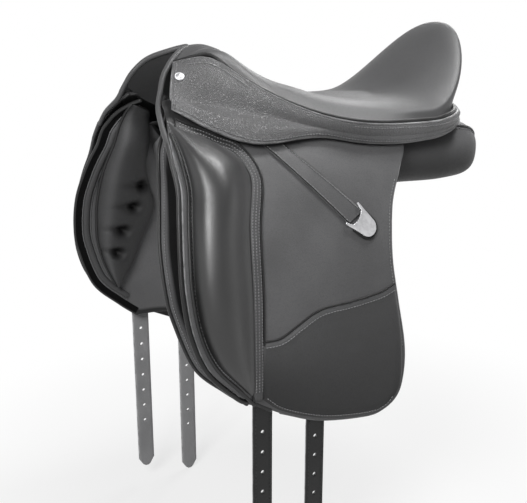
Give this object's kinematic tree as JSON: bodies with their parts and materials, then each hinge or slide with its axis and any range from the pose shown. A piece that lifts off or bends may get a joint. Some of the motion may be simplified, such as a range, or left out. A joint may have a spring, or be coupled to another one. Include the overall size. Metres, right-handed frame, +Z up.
{
  "type": "dressage saddle",
  "caption": "English dressage saddle with a deep seat, long straight flaps with knee blocks, lifting skirts over the stirrup bars, wool panels and long girth straps.",
  "frame": {"origin": "on the centre plane, under the seat at the panels' underside", "axes": "+X towards the horse's head, +Y to the near (left) side, +Z up"},
  "size_m": [0.5121, 0.438, 0.719],
  "materials": {
    "leather": "satin pebble grain",
    "dark_leather": "smooth satin",
    "webbing": "matt",
    "padding": "matt",
    "tree_plastic": "moulded",
    "steel": "bright"
  },
  "bodies": {
    "saddle": {"tree": "tree_plastic", "gullet_plate": "steel", "tree_points": "tree_plastic", "gullet_screws": "steel", "stirrup_bar_near": "steel", "stirrup_bar_off": "steel", "stirrup_bar_rivets": "steel", "catch_pins": "steel", "seat_cover": "leather", "seat_foam": "padding", "seat_welt": "dark_leather", "seat_band": "leather", "pommel_welt": "dark_leather", "pommel_buttons": "steel", "flap_top_near": "leather", "flap_top_off": "leather", "sweat_flap_near": "leather", "sweat_flap_off": "leather", "panel_cover_near": "dark_leather", "panel_cover_off": "dark_leather", "panel_cushion_near": "padding", "panel_cushion_off": "padding", "panel_front_near": "dark_leather", "panel_front_off": "dark_leather", "gullet_lining": "webbing", "girth_webs": "webbing", "girth_strap_tops": "dark_leather"},
    "flap_near": {"flap_near": "leather", "knee_block_near": "leather", "flap_piping_near": "dark_leather", "lower_facing_near": "dark_leather", "keeper_strip_near": "leather", "keeper_plate_near": "steel"},
    "skirt_near": {"skirt_near": "leather"},
    "catch_near": {"bar_catch_near": "steel"},
    "strap_front_near": {"girth_strap_front_near": "dark_leather"},
    "strap_rear_near": {"girth_strap_rear_near": "dark_leather"},
    "flap_off": {"flap_off": "leather", "knee_block_off": "leather", "flap_piping_off": "dark_leather", "lower_facing_off": "dark_leather", "keeper_strip_off": "leather", "keeper_plate_off": "steel"},
    "skirt_off": {"skirt_off": "leather"},
    "catch_off": {"bar_catch_off": "steel"},
    "strap_front_off": {"girth_strap_front_off": "dark_leather"},
    "strap_rear_off": {"girth_strap_rear_off": "dark_leather"}
  },
  "joints": [
    {"name": "flap_near_hinge", "type": "hinge", "parent": "saddle", "child": "flap_near", "pos_m": [0.109, 0.12695, 0.0575], "axis": [0.9981, -0.0378, 0.0489], "range_deg": [0, 65]},
    {"name": "flap_off_hinge", "type": "hinge", "parent": "saddle", "child": "flap_off", "pos_m": [0.109, -0.12695, 0.0575], "axis": [-0.9981, -0.0378, -0.0489], "range_deg": [0, 65]},
    {"name": "skirt_near_hinge", "type": "hinge", "parent": "saddle", "child": "skirt_near", "pos_m": [0.1605, 0.09755, 0.099], "axis": [0.9444, -0.2467, 0.2175], "range_deg": [0, 50]},
    {"name": "skirt_off_hinge", "type": "hinge", "parent": "saddle", "child": "skirt_off", "pos_m": [0.1605, -0.09755, 0.099], "axis": [-0.9444, -0.2467, -0.2175], "range_deg": [0, 50]},
    {"name": "catch_near_hinge", "type": "hinge", "parent": "saddle", "child": "catch_near", "pos_m": [0.1184, 0.06765, 0.08656], "axis": [0, -0.4695, 0.8829], "range_deg": [0, 85]},
    {"name": "catch_off_hinge", "type": "hinge", "parent": "saddle", "child": "catch_off", "pos_m": [0.1184, -0.06765, 0.08656], "axis": [0, -0.4695, -0.8829], "range_deg": [0, 85]},
    {"name": "strap_front_near_hinge", "type": "hinge", "parent": "saddle", "child": "strap_front_near", "pos_m": [0.19, 0.18956, -0.236], "axis": [1, 0, 0], "range_deg": [-20, 60]},
    {"name": "strap_front_off_hinge", "type": "hinge", "parent": "saddle", "child": "strap_front_off", "pos_m": [0.19, -0.18956, -0.236], "axis": [-1, 0, 0], "range_deg": [-20, 60]},
    {"name": "strap_rear_near_hinge", "type": "hinge", "parent": "saddle", "child": "strap_rear_near", "pos_m": [0.116, 0.18754, -0.262], "axis": [1, 0, 0], "range_deg": [-20, 60]},
    {"name": "strap_rear_off_hinge", "type": "hinge", "parent": "saddle", "child": "strap_rear_off", "pos_m": [0.116, -0.18754, -0.262], "axis": [-1, 0, 0], "range_deg": [-20, 60]}
  ]
}
